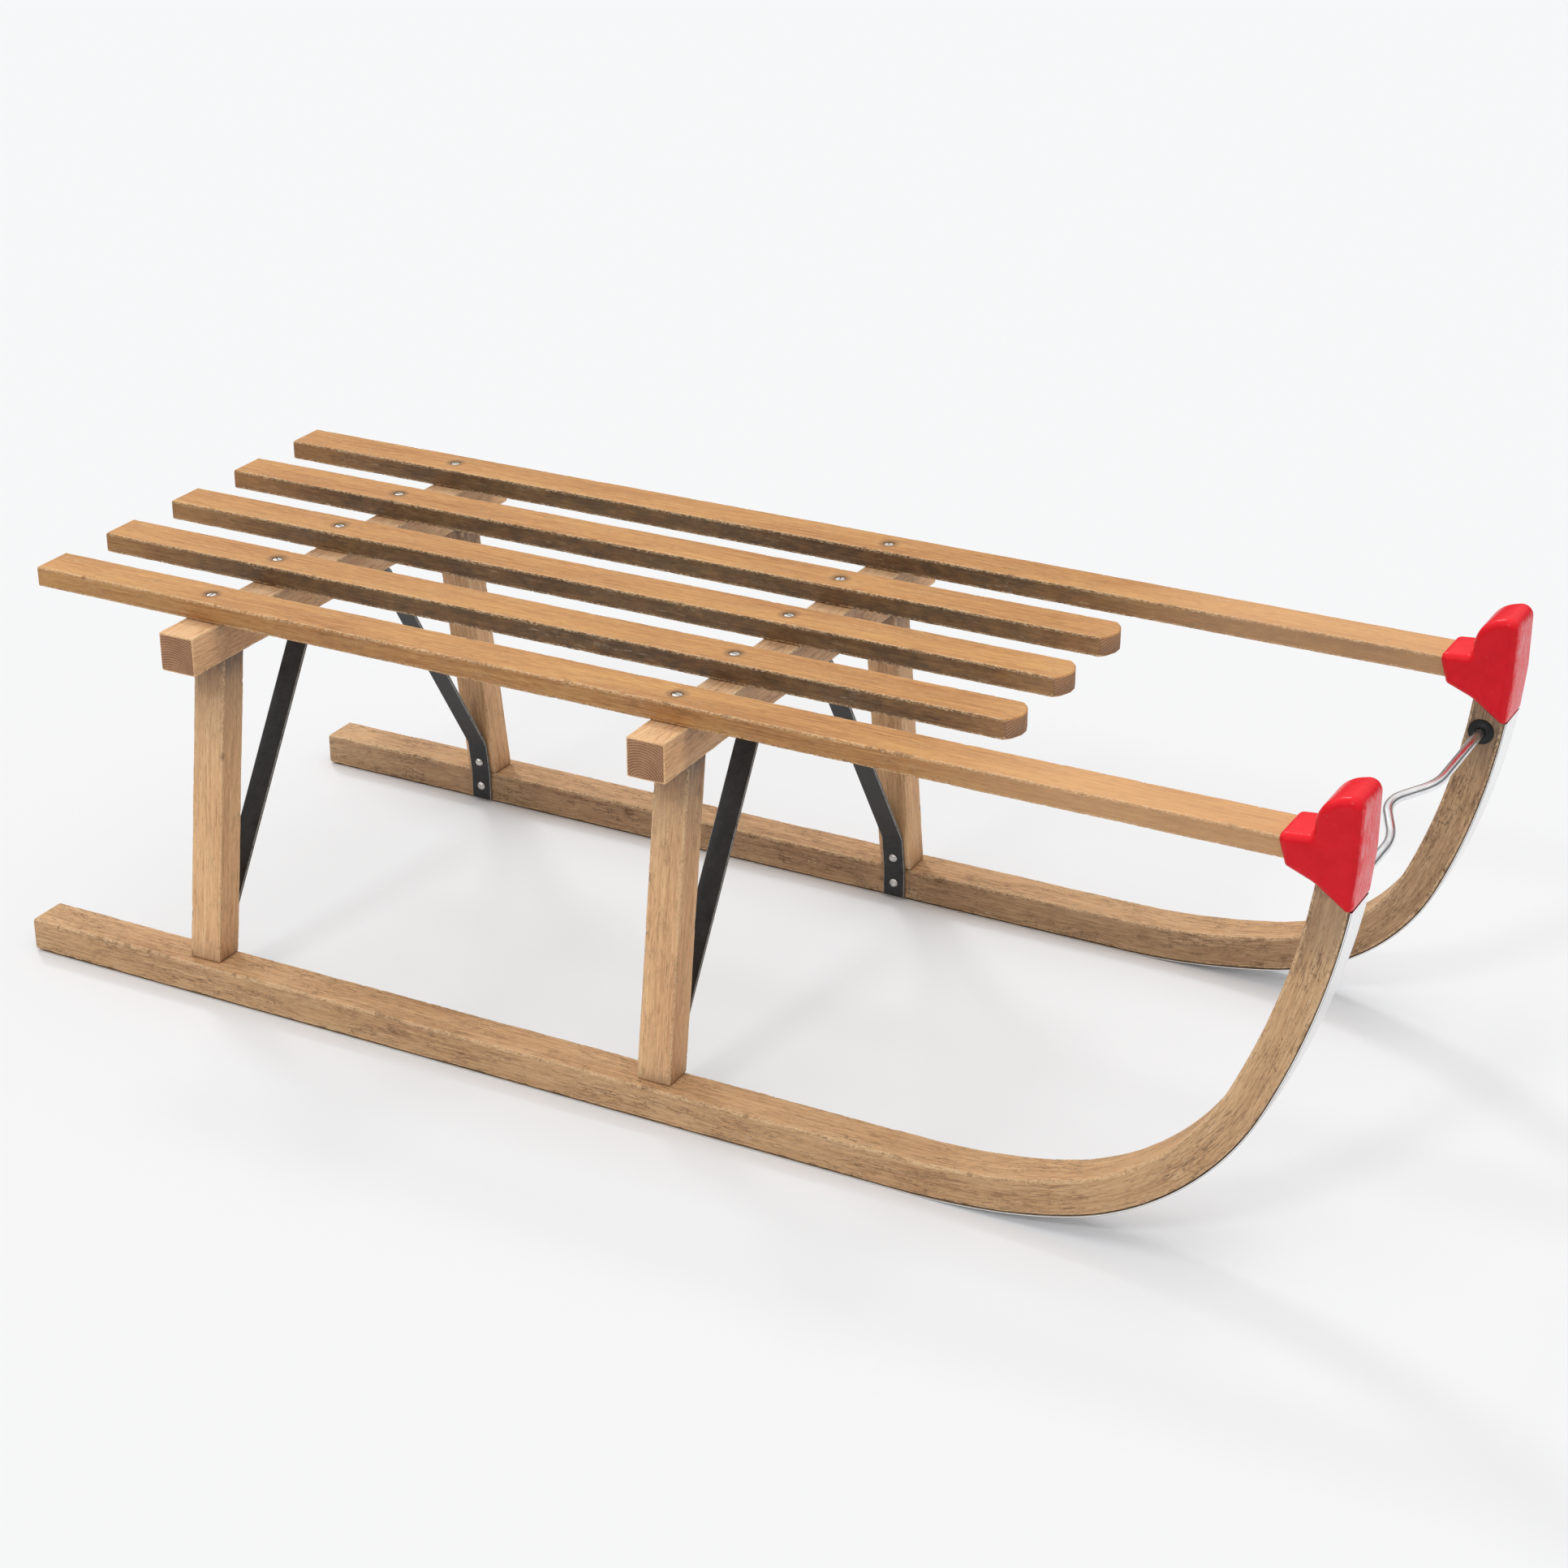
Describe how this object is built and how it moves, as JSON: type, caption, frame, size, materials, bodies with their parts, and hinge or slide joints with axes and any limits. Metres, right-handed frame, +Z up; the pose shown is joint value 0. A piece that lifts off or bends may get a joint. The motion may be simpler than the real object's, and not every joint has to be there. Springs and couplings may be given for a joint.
{
  "type": "wooden sled",
  "caption": "Child's wooden sled: slatted seat on two crossbeams and splayed, braced legs, bent-up runners with steel shoes, moulded front bumpers and a pull bar that turns.",
  "frame": {"origin": "on the ground, at the middle of the sled's overall length and width", "axes": "+X forward, towards the bumpers; +Y to the rider's left; +Z up"},
  "size_m": [0.8968, 0.3664, 0.2976],
  "materials": {
    "slat_wood": "clear-lacquered ash, scuffed along the edges",
    "frame_wood": "clear-lacquered ash",
    "runner_wood": "clear-lacquered ash, weathered",
    "bumper_plastic": "red moulded plastic, semi-gloss, scuffed",
    "black_iron": "matt black paint on band iron",
    "shoe_steel": "steel strip polished by use",
    "bar_chrome": "bright chrome",
    "bush_rubber": "matt black rubber",
    "screw_steel": "zinc-plated steel"
  },
  "bodies": {
    "sled_frame": {"brace_front": "black_iron", "brace_rear": "black_iron", "brace_screw_front_left_high": "screw_steel", "brace_screw_front_left_low": "screw_steel", "brace_screw_front_right_high": "screw_steel", "brace_screw_front_right_low": "screw_steel", "brace_screw_front_top_left": "screw_steel", "brace_screw_front_top_right": "screw_steel", "brace_screw_rear_left_high": "screw_steel", "brace_screw_rear_left_low": "screw_steel", "brace_screw_rear_right_high": "screw_steel", "brace_screw_rear_right_low": "screw_steel", "brace_screw_rear_top_left": "screw_steel", "brace_screw_rear_top_right": "screw_steel", "bumper_left": "bumper_plastic", "bumper_right": "bumper_plastic", "bush_left": "bush_rubber", "bush_right": "bush_rubber", "crossbeam_front": "frame_wood", "crossbeam_rear": "frame_wood", "leg_front_left": "frame_wood", "leg_front_right": "frame_wood", "leg_rear_left": "frame_wood", "leg_rear_right": "frame_wood", "runner_left": "runner_wood", "runner_right": "runner_wood", "seat_screw_front_1": "screw_steel", "seat_screw_front_2": "screw_steel", "seat_screw_front_3": "screw_steel", "seat_screw_front_4": "screw_steel", "seat_screw_front_5": "screw_steel", "seat_screw_rear_1": "screw_steel", "seat_screw_rear_2": "screw_steel", "seat_screw_rear_3": "screw_steel", "seat_screw_rear_4": "screw_steel", "seat_screw_rear_5": "screw_steel", "shoe_left": "shoe_steel", "shoe_right": "shoe_steel", "shoe_screw_left_1": "screw_steel", "shoe_screw_left_2": "screw_steel", "shoe_screw_left_3": "screw_steel", "shoe_screw_left_4": "screw_steel", "shoe_screw_right_1": "screw_steel", "shoe_screw_right_2": "screw_steel", "shoe_screw_right_3": "screw_steel", "shoe_screw_right_4": "screw_steel", "slat_centre": "slat_wood", "slat_inner_left": "slat_wood", "slat_inner_right": "slat_wood", "slat_outer_left": "slat_wood", "slat_outer_right": "slat_wood"},
    "pull_bar": {"pull_bar": "bar_chrome"}
  },
  "joints": [
    {"name": "pull_bar_turn", "type": "hinge", "parent": "sled_frame", "child": "pull_bar", "pos_m": [0.4307, 0, 0.222], "axis": [0, 1, 0], "continuous": true}
  ]
}
